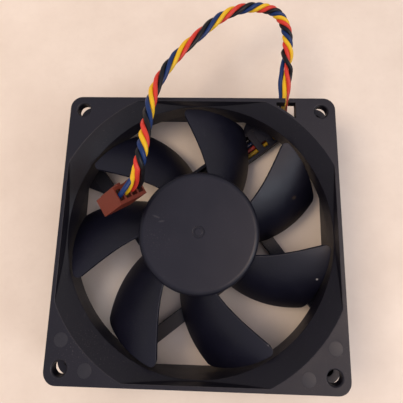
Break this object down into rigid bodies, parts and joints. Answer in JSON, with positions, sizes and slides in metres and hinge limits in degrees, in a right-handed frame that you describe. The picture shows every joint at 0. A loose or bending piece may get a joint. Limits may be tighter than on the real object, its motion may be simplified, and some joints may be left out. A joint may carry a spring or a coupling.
{
  "type": "computer case fan",
  "caption": "Square axial case fan: open-corner plastic frame, swept-blade impeller on a hub motor, wire channel in a strut and a short twisted lead with a crimp plug.",
  "frame": {"origin": "centre of the rear (outlet) face, on the surface the fan lies on", "axes": "+Z along the fan axis out of the intake face, +X and +Y along the frame's sides, the lead leaves on the +Y side"},
  "size_m": [0.092, 0.1303, 0.0445],
  "materials": {
    "frame_plastic": "fine spark texture",
    "impeller_plastic": "satin moulding",
    "brass": "turned",
    "bronze": "sintered",
    "nylon": "moulded",
    "steel": "ground",
    "silicon_steel": "stamped stack",
    "insulator": "moulded",
    "enamel_copper": "enamelled wire",
    "board_laminate": "solder mask",
    "chip_resin": "moulded",
    "can": "drawn",
    "yellow_insulation": "extruded",
    "red_insulation": "extruded",
    "blue_insulation": "extruded",
    "black_insulation": "extruded",
    "plug_plastic": "moulded",
    "tinned_bronze": "tinned",
    "drawn_steel": "drawn cup",
    "bonded_ferrite": "bonded strip"
  },
  "bodies": {
    "frame": {"frame": "frame_plastic", "bearing_tube": "brass", "sleeve_bearing": "bronze", "thrust_pad": "nylon", "stator_core": "silicon_steel", "bobbin_lower": "insulator", "bobbin_upper": "insulator", "stator_coil_1": "enamel_copper", "stator_coil_2": "enamel_copper", "stator_coil_3": "enamel_copper", "stator_coil_4": "enamel_copper", "circuit_board": "board_laminate", "driver_chip": "chip_resin", "hall_sensor": "chip_resin", "board_capacitor": "can", "board_resistors": "chip_resin", "wire_yellow": "yellow_insulation", "wire_red": "red_insulation", "wire_blue": "blue_insulation", "wire_black": "black_insulation", "fan_lead": "black_insulation", "plug_housing": "plug_plastic", "plug_contacts": "tinned_bronze"},
    "rotor": {"impeller": "impeller_plastic", "rotor_yoke": "drawn_steel", "rotor_magnet": "bonded_ferrite", "shaft_bush": "brass", "shaft": "steel", "shaft_clip": "nylon", "oil_washer": "nylon"}
  },
  "joints": [
    {"name": "impeller_spin", "type": "hinge", "parent": "frame", "child": "rotor", "pos_m": [0, 0, 0], "axis": [0, 0, 1], "continuous": true}
  ]
}
